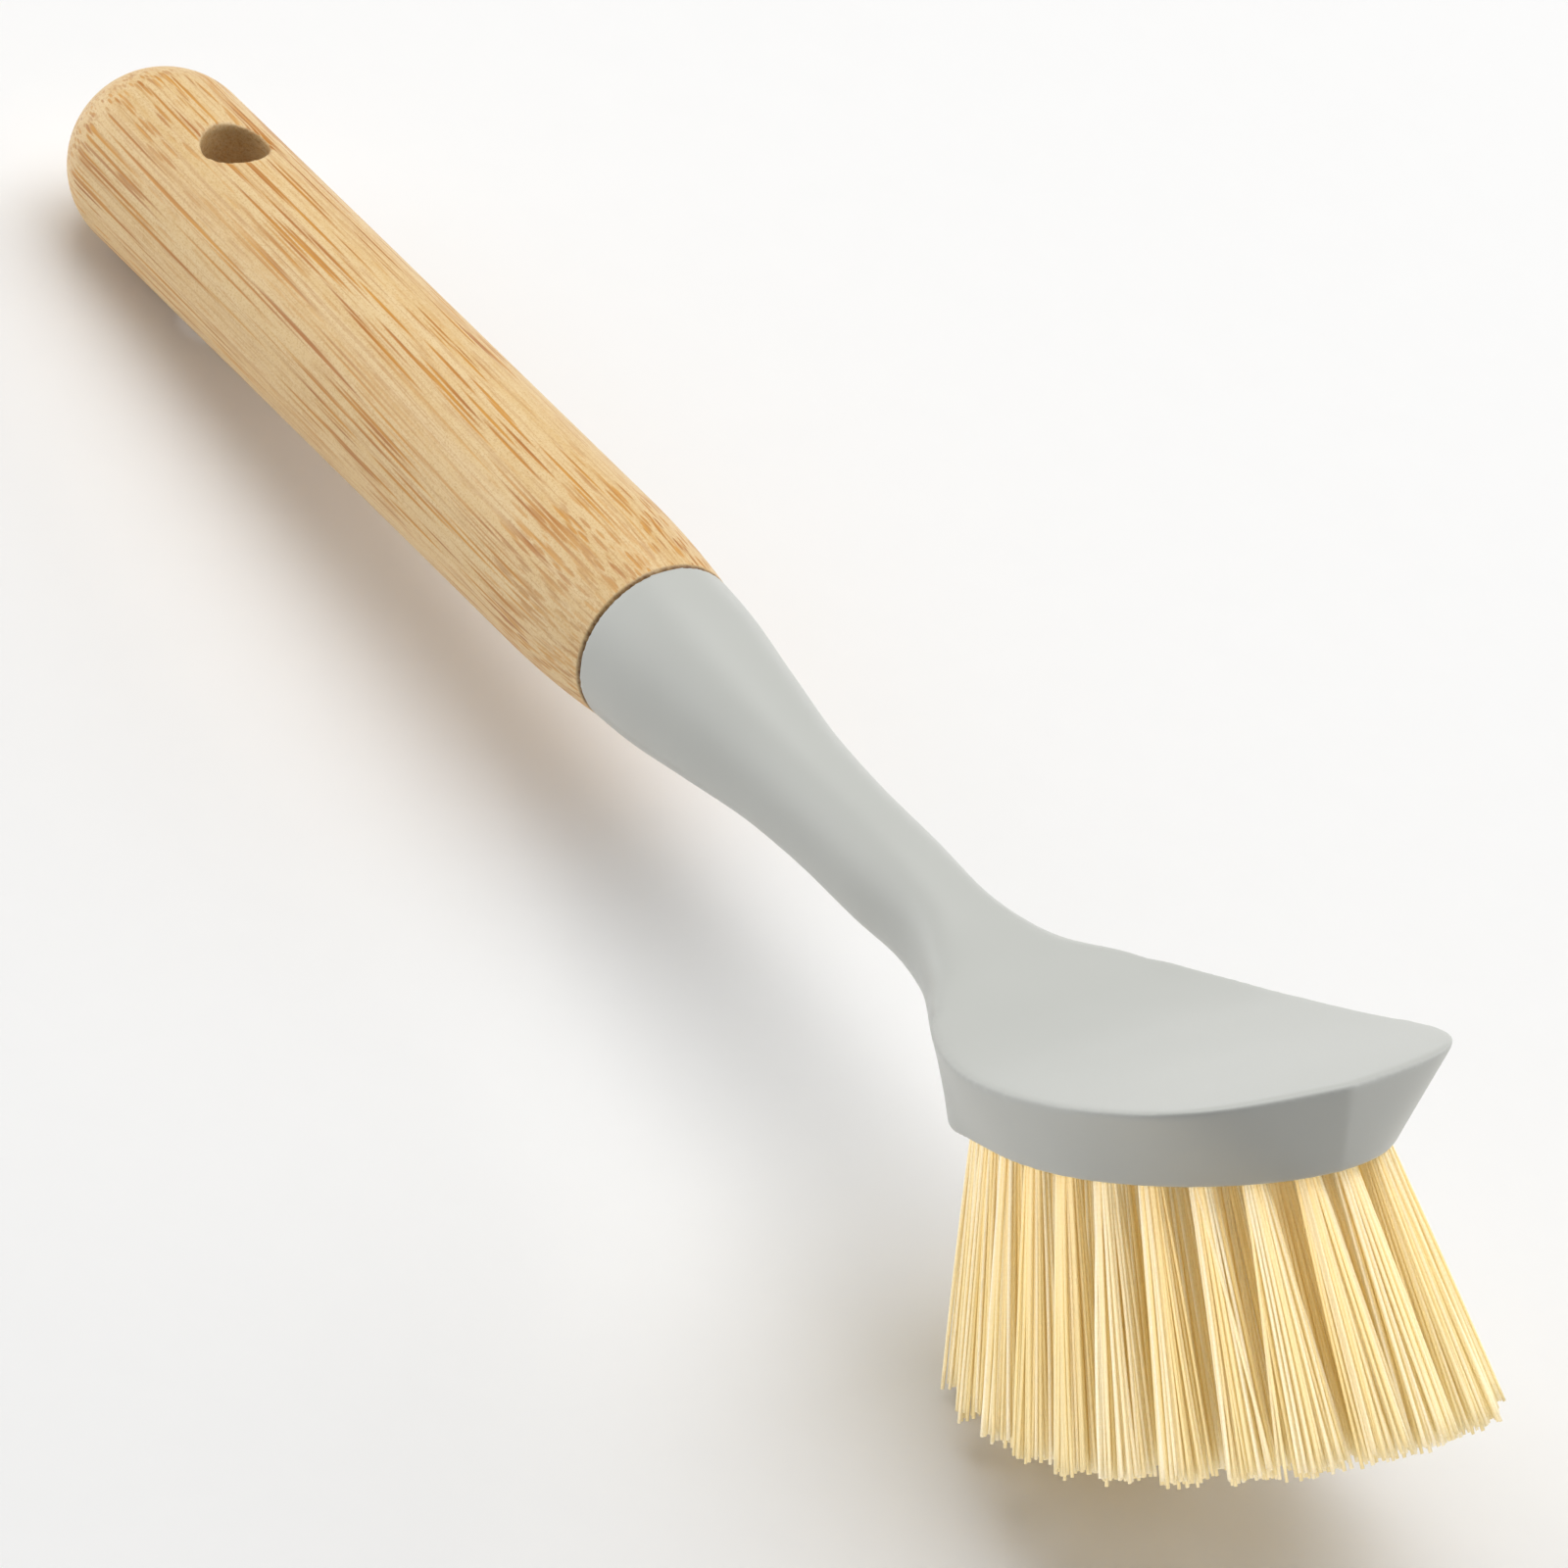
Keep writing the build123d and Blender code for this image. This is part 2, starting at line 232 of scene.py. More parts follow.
# Fills for the tufts alone, as name, direction and power; each has a glow that the tufts don't shade
TUFT_FILLS = [
    ("tuft_front", (0.35, -0.90, 0.25), 3.4), ("tuft_nose", (0.95, -0.05, 0.20), 2.5),
    ("tuft_back", (-0.35, 0.90, 0.25), 3.5),
]
FILL_DISTANCE = 1.2
FILL_SIZE = 0.9
FILL_COLOUR = (1.0, 0.985, 0.95)
GLOW_SHARE = 1.55
GLOW_COLOUR = (1.0, 0.71, 0.37)
WORLD_STRENGTH = 0.08

# Camera: its place, its directions back and up, and a long lens as in a studio product shot
CAMERA_PLACE = (1.790625, -1.485066, 1.937531)
CAMERA_BACK = (0.59354, -0.49425, 0.63516)
CAMERA_UP = (-0.62468, 0.21467, 0.75079)
CAMERA_LENS = 594.64
CAMERA_SENSOR = 36
CAMERA_FAR = 30


# Curves and grids

def natural_spline(knots, values, places):
    """Natural cubic spline through rows of values, read at other places along the knots."""
    knots = np.asarray(knots, float)
    values = np.asarray(values, float)
    places = np.asarray(places, float)
    gaps = np.diff(knots)
    slopes = np.diff(values, axis=0) / gaps[:, None]
    matrix = np.eye(len(knots))
    right = np.zeros(values.shape)
    for i in range(1, len(knots) - 1):
        matrix[i, i - 1:i + 2] = gaps[i - 1], 2 * (gaps[i - 1] + gaps[i]), gaps[i]
        right[i] = 6 * (slopes[i] - slopes[i - 1])
    bends = np.linalg.solve(matrix, right)
    low = np.clip(np.searchsorted(knots, places, side="right") - 1, 0, len(knots) - 2)
    gap = gaps[low][:, None]
    ahead = (places - knots[low])[:, None]
    left = (knots[low + 1] - places)[:, None]
    curve = bends[low] * left ** 3 + bends[low + 1] * ahead ** 3
    line = (values[low] / gap - bends[low] * gap / 6) * left
    return curve / (6 * gap) + line + (values[low + 1] / gap - bends[low + 1] * gap / 6) * ahead


def chord_lengths(points):
    """Running length along a polyline, from 0."""
    steps = np.linalg.norm(np.diff(np.asarray(points, float), axis=0), axis=1)
    return np.concatenate([[0], np.cumsum(steps)])


def smoothstep(low, high, values):
    """Soft step from 0 at one value to 1 at another, which may be the smaller of the two."""
    share = np.clip((values - low) / (high - low), 0, 1)
    return share * share * (3 - 2 * share)


def unit(vector):
    """Vector of length 1."""
    return vector / np.linalg.norm(vector)


def ring_turns(sides):
    """Angles of the points of a ring."""
    return np.linspace(0, 2 * pi, sides, endpoint=False)


def top_height(x):
    """Height of the dished top of the head at a place along it."""
    table = np.array(sorted((-back * HEAD_LENGTH, up * WALL_HEIGHT) for back, up in SCOOP_SHARES))
    flat = np.clip(np.ravel(x), table[0, 0], table[-1, 0])
    rise = (table[1, 1] - table[0, 1]) / (table[1, 0] - table[0, 0])
    beyond = np.minimum(np.ravel(x) - table[0, 0], 0) * rise
    return (natural_spline(table[:, 0], table[:, 1:], flat)[:, 0] + beyond).reshape(np.shape(x))


def lying(points):
    """Points of the head's frame, in the frame of the floor."""
    points = np.asarray(points, float)
    x = points[..., 0] * cos(HEAD_TILT) - points[..., 2] * sin(HEAD_TILT)
    z = points[..., 0] * sin(HEAD_TILT) + points[..., 2] * cos(HEAD_TILT)
    return np.stack([x, points[..., 1], z], -1) + np.array(HEAD_SEAT)


def standing(points):
    """Points of the frame of the floor, in the head's frame."""
    points = np.asarray(points, float) - np.array(HEAD_SEAT)
    x = points[..., 0] * cos(HEAD_TILT) + points[..., 2] * sin(HEAD_TILT)
    z = points[..., 2] * cos(HEAD_TILT) - points[..., 0] * sin(HEAD_TILT)
    return np.stack([x, points[..., 1], z], -1)


def grid_faces(rows, columns, start, closed):
    """Quads over a grid of points, row by row, whose columns close on themselves or not."""
    steps = columns if closed else columns - 1
    row, column = np.meshgrid(np.arange(rows - 1), np.arange(steps), indexing="ij")
    after = (column + 1) % columns
    here = row * columns
    above = (row + 1) * columns
    quads = [here + column, here + after, above + after, above + column]
    return (np.stack(quads, -1).reshape(-1, 4) + start).tolist()


class Soup:
    """Grids of points gathered into one mesh."""

    def __init__(self):
        self.points = []
        self.faces = []
        self.count = 0

    def add(self, grid, closed=False, capped=False):
        """Adds a grid, whose columns may close on themselves and whose first and last rows may be capped."""
        rows, columns = grid.shape[:2]
        self.points.append(grid.reshape(-1, 3))
        self.faces += grid_faces(rows, columns, self.count, closed)
        if capped:
            self.faces.append(list(range(self.count, self.count + columns))[::-1])
            last = self.count + (rows - 1) * columns
            self.faces.append(list(range(last, last + columns)))
        self.count += rows * columns

    def mesh(self, name, scale=1.0):
        """Mesh of all the grids."""
        mesh = bpy.data.meshes.new(name)
        mesh.from_pydata(np.concatenate(self.points) * scale, [], self.faces)
        mesh.validate()
        return mesh


def add_object(name, mesh):
    """Object for a mesh, in the scene's own collection."""
    piece = bpy.data.objects.new(name, mesh)
    bpy.context.scene.collection.objects.link(piece)
    return piece


def finished(name, mesh, material):
    """Object for a mesh, shaded smooth, in its material."""
    mesh.shade_smooth()
    mesh.materials.append(material)
    return add_object(name, mesh)


def mesh_points(mesh):
    """Vertex places of a mesh as an array."""
    flat = np.empty(len(mesh.vertices) * 3)
    mesh.vertices.foreach_get("co", flat)
    return flat.reshape(-1, 3)


def set_points(mesh, points):
    """Moves the vertices of a mesh to the places in an array."""
    mesh.vertices.foreach_set("co", points.ravel())


def set_values(mesh, name, values):
    """Stores one number on each vertex of a mesh, for its material to read."""
    mesh.attributes.new(name, "FLOAT", "POINT").data.foreach_set("value", values)


def relax(mesh, points, weights, rounds):
    """Moves each vertex towards the middle of its neighbours, by its weight, several times over."""
    ends = np.empty(len(mesh.edges) * 2, int)
    mesh.edges.foreach_get("vertices", ends)
    ends = ends.reshape(-1, 2)
    first, second = ends[(weights[ends] > 0).any(axis=1)].T
    counts = np.bincount(first, minlength=len(points)) + np.bincount(second, minlength=len(points))
    for _ in range(rounds):
        total = np.empty(points.shape)
        for axis in range(3):
            to_first = np.bincount(first, points[second, axis], len(points))
            to_second = np.bincount(second, points[first, axis], len(points))
            total[:, axis] = to_first + to_second
        middle = total / np.maximum(counts, 1)[:, None]
        points = points + (middle - points) * (weights * 0.5)[:, None]
    return points


def remeshed(piece, name, voxel):
    """One even skin round all the closed forms of an object made in millimetres, which is then removed."""
    skin = piece.modifiers.new("skin", "REMESH")
    skin.mode = "VOXEL"
    skin.voxel_size = voxel * MILLIMETRES
    graph = bpy.context.evaluated_depsgraph_get()
    mesh = bpy.data.meshes.new_from_object(piece.evaluated_get(graph))
    mesh.name = name
    bpy.data.objects.remove(piece)
    set_points(mesh, mesh_points(mesh) / MILLIMETRES)
    return mesh


# Materials

class Look:
    """A material and its Principled shader, with short ways to add the nodes that feed it."""

    def __init__(self, name):
        self.material = bpy.data.materials.new(name)
        self.material.use_nodes = True
        self.nodes = self.material.node_tree.nodes
        self.shader = self.nodes["Principled BSDF"]

    def put(self, socket, value):
        """Feeds an input from a socket, or sets its own number or colour."""
        if isinstance(value, bpy.types.NodeSocket):
            self.material.node_tree.links.new(value, socket)
        elif isinstance(value, tuple):
            socket.default_value = (*value, 1)
        elif value is not None:
            socket.default_value = value

    def finish(self, colour, roughness, specular=0.5, metallic=0.0):
        """Sets the shader's inputs, and returns the material."""
        self.put(self.shader.inputs["Base Color"], colour)
        self.put(self.shader.inputs["Roughness"], roughness)
        self.put(self.shader.inputs["Specular IOR Level"], specular)
        self.put(self.shader.inputs["Metallic"], metallic)
        return self.material

    def object_place(self):
        """Place in the object's own frame."""
        return self.nodes.new("ShaderNodeTexCoord").outputs["Object"]

    def attribute(self, name, output="Fac"):
        """What each vertex carries under a name."""
        node = self.nodes.new("ShaderNodeAttribute")
        node.attribute_name = name
        return node.outputs[output]

    def math(self, operation, first, second=None):
        """Result of a Math node on sockets or numbers."""
        node = self.nodes.new("ShaderNodeMath")
        node.operation = operation
        for socket, value in zip(node.inputs, (first, second)):
            self.put(socket, value)
        return node.outputs[0]

    def product(self, first, second):
        """Product of two sockets or numbers."""
        return self.math("MULTIPLY", first, second)

    def ramp(self, factor, stops):
        """Colour ramp over a factor, from stops of a place with a grey level or a colour."""
        node = self.nodes.new("ShaderNodeValToRGB")
        while len(node.color_ramp.elements) < len(stops):
            node.color_ramp.elements.new(0.5)
        for element, (place, colour) in zip(node.color_ramp.elements, stops):
            element.position = place
            element.color = (*colour, 1) if isinstance(colour, tuple) else (colour, colour, colour, 1)
        self.put(node.inputs["Fac"], factor)
        return node.outputs["Color"]

    def mix(self, factor, first, second):
        """Colour mix of two sockets or colours."""
        node = self.nodes.new("ShaderNodeMix")
        node.data_type = "RGBA"
        sockets = [socket for socket in node.inputs if socket.enabled]
        for socket, value in zip(sockets, (factor, first, second)):
            self.put(socket, value)
        return next(socket for socket in node.outputs if socket.enabled)

    def scaled(self, vector, scale):
        """Vector times a scale along each axis."""
        node = self.nodes.new("ShaderNodeMapping")
        node.vector_type = "POINT"
        node.inputs["Scale"].default_value = scale
        self.put(node.inputs["Vector"], vector)
        return node.outputs["Vector"]

    def noise(self, vector, scale, detail=2.0, roughness=0.5):
        """Soft noise with a number of waves to the metre along each axis."""
        node = self.nodes.new("ShaderNodeTexNoise")
        node.inputs["Scale"].default_value = 1.0
        node.inputs["Detail"].default_value = detail
        node.inputs["Roughness"].default_value = roughness
        self.put(node.inputs["Vector"], self.scaled(vector, scale))
        return node.outputs["Fac"]

    def cells(self, vector, scale):
        """Distance to the middle of the nearest of many scattered cells."""
        node = self.nodes.new("ShaderNodeTexVoronoi")
        node.feature = "F1"
        node.inputs["Scale"].default_value = 1.0
        self.put(node.inputs["Vector"], self.scaled(vector, scale))
        return node.outputs["Distance"]

    def bump(self, height, distance, strength):
        """Fine relief, on top of the shape itself."""
        node = self.nodes.new("ShaderNodeBump")
        node.inputs["Strength"].default_value = strength
        node.inputs["Distance"].default_value = distance
        self.put(node.inputs["Height"], height)
        self.put(self.shader.inputs["Normal"], node.outputs["Normal"])


def bamboo_streaks(look, grain, darkening):
    """Strength of the fibre bundles' streaks, which fade out inside the hanging hole."""
    split = look.nodes.new("ShaderNodeSeparateXYZ")
    look.put(split.inputs["Vector"], grain)
    along = look.math("DIVIDE", split.outputs["X"], HANDLE_LENGTH)
    where = look.noise(grain, (14, 170, 170))
    long_band = look.ramp(where, [(0.38, 0.0), (0.47, 1.0)])
    short_band = look.ramp(where, [(0.48, 1.0), (0.62, 0.45)])
    streak = 0.0
    for scale, (full, half, none), is_long, zone in STREAK_LAYERS:
        core = look.ramp(look.cells(grain, scale), [(0.0, 1.0), (full, 0.9), (half, 0.4), (none, 0.0)])
        here = look.product(long_band if is_long else short_band, look.ramp(along, zone))
        streak = look.math("MAXIMUM", streak, look.product(core, here))
    return look.product(streak, look.ramp(darkening, [(0.1, 1.0), (0.28, 0.2)]))


def bamboo_material():
    """Bamboo: long orange-brown fibre bundles along the bar, short dashes at its dome and its shoulder."""
    look = Look("bamboo")
    grain = look.attribute("grain", "Vector")
    darkening = look.attribute("darkening")
    streak = bamboo_streaks(look, grain, darkening)
    warmth = look.noise(grain, (60, 1300, 1300))
    lines = look.noise(grain, (9, 2300, 2300), 2.0, 0.6)
    stripes = look.noise(grain, (7, 800, 800), 3.0, 0.6)
    broad = look.noise(grain, (9, 90, 90), 3.0, 0.55)
    mottle = look.noise(grain, (900, 1500, 1500), 4.0, 0.65)
    speck = look.noise(grain, (3000, 5200, 5200), 2.0, 0.6)

    tone = look.ramp(broad, [(0.3, BAMBOO_TONES[0]), (0.7, BAMBOO_TONES[1])])
    tone = look.mix(look.ramp(stripes, [(0.38, 0.0), (0.66, 0.6)]), tone, BAMBOO_PALE)
    tone = look.mix(look.ramp(mottle, [(0.40, 0.0), (0.66, 0.4)]), tone, BAMBOO_LIGHT)
    tone = look.mix(look.ramp(speck, [(0.50, 0.0), (0.70, 0.5)]), tone, BAMBOO_SPECK)
    thin = look.ramp(lines, [(0.54, 0.0), (0.66, 1.0)])
    tone = look.mix(look.product(thin, 0.42), tone, BAMBOO_LINE)
    deep = look.ramp(warmth, [(0.38, BAMBOO_STREAKS[0]), (0.64, BAMBOO_STREAKS[1])])
    tone = look.mix(look.product(streak, 0.95), tone, deep)
    ragged = look.ramp(mottle, [(0.3, 0.55), (0.6, 1.0)])
    # Darker brown inside the hanging hole and along the joint
    tone = look.mix(look.product(darkening, ragged), tone, BAMBOO_DARKENING)

    look.bump(look.math("SUBTRACT", mottle, look.product(streak, 1.2)), 0.00008, 0.5)
    roughness = look.ramp(mottle, [(0.2, 0.38), (0.8, 0.52)])
    return look.finish(tone, roughness, specular=0.45)


def plastic_material():
    """Light warm grey moulding with a very fine matte grain."""
    look = Look("grey_plastic")
    place = look.object_place()
    grain = look.noise(place, (5200, 5200, 5200), 3.0, 0.6)
    tone = look.mix(look.noise(place, (60, 60, 60)), *PLASTIC_TONES)
    tone = look.mix(look.product(grain, 0.08), tone, PLASTIC_GRAIN)
    look.bump(grain, 0.00002, 0.35)
    roughness = look.ramp(grain, [(0.3, 0.33), (0.7, 0.41)])
    return look.finish(tone, roughness, specular=0.32)


def fibre_material():
    """Cream filaments: warmer, brighter roots as painted scattered light, duller tips, fine crimps with
    painted shade, no two quite alike.
    """
    look = Look("plant_fibre")
    along = look.attribute("along")
    pale = look.math("POWER", look.attribute("tint"), 1.6)
    # Painted light: the ramp along each filament is brightest and warmest by the roots
    tone = look.mix(pale, look.ramp(along, FIBRE_TONES_AND_PAINTED_ROOT_LIGHT), FIBRE_PALE)
    crimp = look.math("SINE", look.product(along, 2 * pi * CRIMPS))
    # Painted shade along the crimps: one half of each wave is mixed a little towards a darker amber
    tone = look.mix(look.ramp(crimp, [(0.0, 0.0), (1.0, 0.08)]), tone, FIBRE_CRIMP_SHADE)
    look.bump(crimp, 0.00003, 0.35)
    return look.finish(tone, 0.45, specular=0.35)


def anchor_material():
    """Plain brass strip with a brushed grain."""
    look = Look("anchor_metal")
    brushed = look.noise(look.object_place(), (900, 6000, 900), 3.0)
    tone = look.ramp(brushed, [(0.2, BRASS_TONES[0]), (0.8, BRASS_TONES[1])])
    return look.finish(tone, look.ramp(brushed, [(0.2, 0.3), (0.8, 0.45)]), metallic=1.0)


def floor_material():
    """Plain pale studio floor with a barely seen grain."""
    look = Look("floor")
    grain = look.noise(look.object_place(), (140, 140, 140), 3.0)
    return look.finish(look.ramp(grain, [(0.3, FLOOR_TONES[0]), (0.7, FLOOR_TONES[1])]), 0.9)


# Handle

def handle_lathe():
    """Turned outline of the bar, x from the domed end: dome, bar, shoulder, rounded rim and socket."""
    dome = []
    for turn in np.linspace(DOME_START, pi / 2, DOME_STEPS):
        dome.append((HANDLE_RADIUS * (1 - cos(turn)), HANDLE_RADIUS * sin(turn)))
    start = HANDLE_LENGTH - SHOULDER_LENGTH
    bar = [(x, HANDLE_RADIUS) for x in np.linspace(HANDLE_RADIUS, start, BAR_STEPS)[1:-1]]
    drop = HANDLE_RADIUS - JOINT_RADIUS
    reach = (SHOULDER_LENGTH ** 2 + drop ** 2) / (2 * drop)
    shoulder = []
    for x in np.linspace(0, SHOULDER_LENGTH - SHOULDER_EDGE, SHOULDER_STEPS):
        shoulder.append((start + x, HANDLE_RADIUS - reach + sqrt(reach ** 2 - x ** 2)))
    rim_radius = shoulder[-1][1]
    rim = []
    for turn in np.linspace(0, pi / 2, EDGE_STEPS)[1:]:
        inset = SHOULDER_EDGE * (1 - cos(turn))
        rim.append((HANDLE_LENGTH - SHOULDER_EDGE * (1 - sin(turn)), rim_radius - inset))
    bottom = HANDLE_LENGTH - SOCKET_DEPTH
    socket = [(HANDLE_LENGTH, SOCKET_RADIUS), (bottom, SOCKET_RADIUS), (bottom, SOCKET_END_RADIUS)]
    return dome + bar + shoulder + rim + socket


def lathe_grid(profile, sides):
    """Grid of a turned form about X."""
    profile = np.array(profile)
    turns = ring_turns(sides)
    x = np.repeat(profile[:, :1], sides, 1)
    return np.stack([x, profile[:, 1:] * np.cos(turns), profile[:, 1:] * np.sin(turns)], -1)


def bar_to_head(points):
    """Points of the bar's own frame, in the head's frame."""
    end = JOINT_CENTRE - NECK_AXIS * HANDLE_LENGTH
    side = np.array([0.0, 1.0, 0.0])
    return end + points[..., :1] * NECK_AXIS + points[..., 1:2] * side + points[..., 2:] * NECK_UP


def wandering(points):
    """Places in the bamboo as its fibres see them: they lean a little to the bar and wander along it."""
    x = points[:, 0]
    drifts = [lean * x + sway * np.sin(x / wave + phase) for lean, sway, wave, phase in FIBRE_DRIFTS]
    return points + np.column_stack([0 * x, *drifts])


def hole_drill():
    """Object to cut the hanging hole with, in millimetres."""
    turns = ring_turns(DRILL_SIDES)
    ring = np.stack([HOLE_FROM_END + HOLE_RADIUS * np.cos(turns), HOLE_RADIUS * np.sin(turns)], -1)
    heights = np.linspace(-DRILL_REACH, DRILL_REACH, DRILL_RINGS) * HANDLE_RADIUS
    grid = np.array([np.column_stack([ring, np.full(len(ring), height)]) for height in heights])
    drill = Soup()
    drill.add(grid, closed=True, capped=True)
    return add_object("handle_drill", drill.mesh("handle_drill", MILLIMETRES))


def bamboo_handle(material):
    """The bar with its eased hanging hole; each vertex carries its place in the grain and how much darker it
    is in the hole and at the joint.
    """
    bar = Soup()
    bar.add(lathe_grid(handle_lathe(), HANDLE_SIDES), closed=True, capped=True)
    blank = add_object("handle_blank", bar.mesh("handle_blank", MILLIMETRES))
    drill = hole_drill()
    cut = blank.modifiers.new("hole", "BOOLEAN")
    cut.operation = "DIFFERENCE"
    cut.object = drill
    mesh = remeshed(blank, "bamboo_bar", HANDLE_VOXEL)
    bpy.data.objects.remove(drill)

    points = mesh_points(mesh)
    away = np.hypot(points[:, 0] - HOLE_FROM_END, points[:, 1])
    surface = np.sqrt(np.maximum(HANDLE_RADIUS ** 2 - points[:, 1] ** 2, 0))
    by_hole = np.abs(away - HOLE_RADIUS) < HOLE_EASE_REACH
    by_surface = np.abs(np.abs(points[:, 2]) - surface) < HOLE_EASE_REACH
    weights = np.where(by_hole & by_surface, 1.0, HANDLE_EASE)
    points = relax(mesh, points, weights, HANDLE_EASE_ROUNDS)

    grain = mesh.attributes.new("grain", "FLOAT_VECTOR", "POINT")
    grain.data.foreach_set("vector", wandering(points).ravel())
    in_hole = smoothstep(*HOLE_DARKENING_REACH, away)
    at_end = smoothstep(*JOINT_LINE_REACH, points[:, 0])
    set_values(mesh, "darkening", np.maximum(HOLE_DARKENING * in_hole, at_end))
    set_points(mesh, lying(bar_to_head(points)))
    handle = finished("bamboo_bar", mesh, material)
    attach(handle, "root")
    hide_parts("bamboo_handle")
    return handle


# Head and neck

def head_outlines():
    """Left halves of the face's and the top's outlines, nose to rear, paired point by point."""
    knots_of = []
    curves = []
    for shares, half_width, overhang in (
        (FACE_SHARES, FACE_HALF_WIDTH, 0.0), (TOP_SHARES, HEAD_HALF_WIDTH, NOSE_OVERHANG),
    ):
        left = [(overhang, 0.0), *[(-back * HEAD_LENGTH, out * half_width) for back, out in shares]]
        right = [(x, -y) for x, y in left[::-1]]
        path = np.array([*left, (-HEAD_LENGTH, 0.0), *right])
        curves.append(path)
        knots_of.append(chord_lengths(path))
    knots = (knots_of[0] / knots_of[0][-1] + knots_of[1] / knots_of[1][-1]) / 2
    places = np.linspace(0, 0.5, OUTLINE_POINTS)
    return [natural_spline(knots, path, places) for path in curves]


def inward_from(edge):
    """Level unit directions from the points of the head's left edge to its inside."""
    along = np.gradient(edge[:, :2], axis=0)
    inward = np.column_stack([along[:, 1], -along[:, 0], np.zeros(len(edge))])
    middle = len(edge) // 2
    inward *= -np.sign(inward[middle, 1]) * np.sign(edge[middle, 1])
    inward /= np.linalg.norm(inward, axis=1)[:, None]
    inward[0] = -1, 0, 0
    inward[-1] = 1, 0, 0
    return inward


def across_from(edge):
    """Grid from a left edge straight across to its mirror image."""
    across = np.linspace(-1, 1, LID_COLUMNS)
    level = np.ones(LID_COLUMNS)
    return edge[:, None, :] * np.column_stack([level, across, level])


def head_block(soup):
    """Drafted walls with a rounded rim, the bristle face and the dished top, as one closed form."""
    face, top = head_outlines()
    height = np.full(len(face), WALL_HEIGHT)
    for _ in range(HEIGHT_ROUNDS):
        height = top_height(face[:, 0] + (top[:, 0] - face[:, 0]) * height / WALL_HEIGHT)
    foot = np.column_stack([face, np.zeros(len(face))])
    step = np.column_stack([(top - face) * (height / WALL_HEIGHT)[:, None], height])
    edge = foot + step
    inset = edge + inward_from(edge) * RIM_RADIUS
    inset[:, 2] = top_height(inset[:, 0])
    below = edge - step / np.linalg.norm(step, axis=1)[:, None] * RIM_RADIUS
    rise = np.linspace(0, 1, WALL_ROWS)[:, None, None]
    turn = np.linspace(0, 1, RIM_ROWS)[1:, None, None]
    roll = below * (1 - turn) ** 2 + edge * 2 * turn * (1 - turn) + inset * turn ** 2
    wall = np.concatenate([foot + (below - foot) * rise, roll])
    soup.add(wall)
    soup.add(wall * np.array([1, -1, 1]))
    soup.add(across_from(wall[-1]))
    soup.add(across_from(foot))


def neck_rows():
    """Place, height, slope, half width, half height and squareness above and below of each given section."""
    rows = []
    for share, fullness in NECK_SHARES:
        centre = JOINT_CENTRE + NECK_AXIS * share * NECK_LENGTH
        half_width = WAIST_HALF_WIDTH + (JOINT_RADIUS - WAIST_HALF_WIDTH) * fullness
        half_height = WAIST_HALF_HEIGHT + (JOINT_RADIUS - WAIST_HALF_HEIGHT) * fullness
        rows.append((centre[0], centre[2], NECK_SLOPE, half_width, half_height, ROUND, ROUND))
    for back, out, bottom, top, squareness in FISHTAIL_SHARES:
        place = -back * HEAD_LENGTH
        middle = (bottom + top) / 2 * WALL_HEIGHT
        half_width = out * HEAD_HALF_WIDTH
        half_height = (top - bottom) / 2 * WALL_HEIGHT
        rows.append((place, middle, 0.0, half_width, half_height, squareness, UNDERSIDE_SQUARENESS))
    return np.array(rows)


def neck_and_fishtail(soup):
    """Smooth run of sections from the joint to inside the head, flattened where it meets the dished top."""
    rows = neck_rows()
    knots = chord_lengths(rows[:, :2])
    sections = natural_spline(knots, rows, np.linspace(0, knots[-1], SECTIONS))
    turns = ring_turns(SECTION_POINTS)
    grid = []
    for x, z, slope, half_width, half_height, upper, lower in sections:
        power = np.where(np.sin(turns) > 0, 2 / upper, 2 / lower)
        out = half_width * np.sign(np.cos(turns)) * np.abs(np.cos(turns)) ** power
        up = half_height * np.sign(np.sin(turns)) * np.abs(np.sin(turns)) ** power
        grid.append(np.column_stack([x + up * sin(slope), out, z + up * cos(slope)]))
    grid = np.array(grid)
    lid = top_height(grid[..., 0])
    widening = (LID_BLEND_NECK - LID_BLEND_HEAD) * smoothstep(*LID_BLEND_RUN, grid[..., 0])
    reach = LID_BLEND_HEAD + widening
    touch = np.maximum(reach - np.abs(grid[..., 2] - lid), 0) / reach
    grid[..., 2] = np.minimum(grid[..., 2], lid) - touch ** 2 * reach / 4
    soup.add(grid, closed=True, capped=True)


def tang(soup):
    """Round peg that the handle is glued on to."""
    profile = [
        (-TANG_LENGTH, TANG_RADIUS - TANG_CHAMFER), (-TANG_LENGTH + TANG_CHAMFER, TANG_RADIUS),
        (TANG_OVERLAP, TANG_RADIUS),
    ]
    grid = lathe_grid(profile, TANG_SIDES)
    grid[..., 0] += HANDLE_LENGTH
    soup.add(bar_to_head(grid), closed=True, capped=True)


def eased_moulding(mesh, points):
    """Places of the moulding's vertices, eased over its skin and then where the fishtail joins the walls."""
    share = points[:, 2] / np.maximum(top_height(points[:, 0]), LEAST_TOP)
    weights = SKIN_EASE + UPPER_EASE * smoothstep(*UPPER_WALL, share)
    weights = np.maximum(weights, smoothstep(*BEHIND_HEAD, points[:, 0]))
    at_joint = smoothstep(*JOINT_REACH, np.abs((points - JOINT_CENTRE) @ NECK_AXIS))
    weights *= 1 - JOINT_HOLD * at_joint
    points = relax(mesh, points, weights, SKIN_ROUNDS)
    junction = smoothstep(*JUNCTION_FRONT, points[:, 0]) * smoothstep(*JUNCTION_REAR, points[:, 0])
    junction *= smoothstep(*JUNCTION_FOOT, points[:, 2])
    junction *= 1 - TOP_HOLD * smoothstep(*TOP_HOLD_SHARES, share) * smoothstep(*TOP_HOLD_RUN, points[:, 0])
    return relax(mesh, points, junction, JUNCTION_ROUNDS)


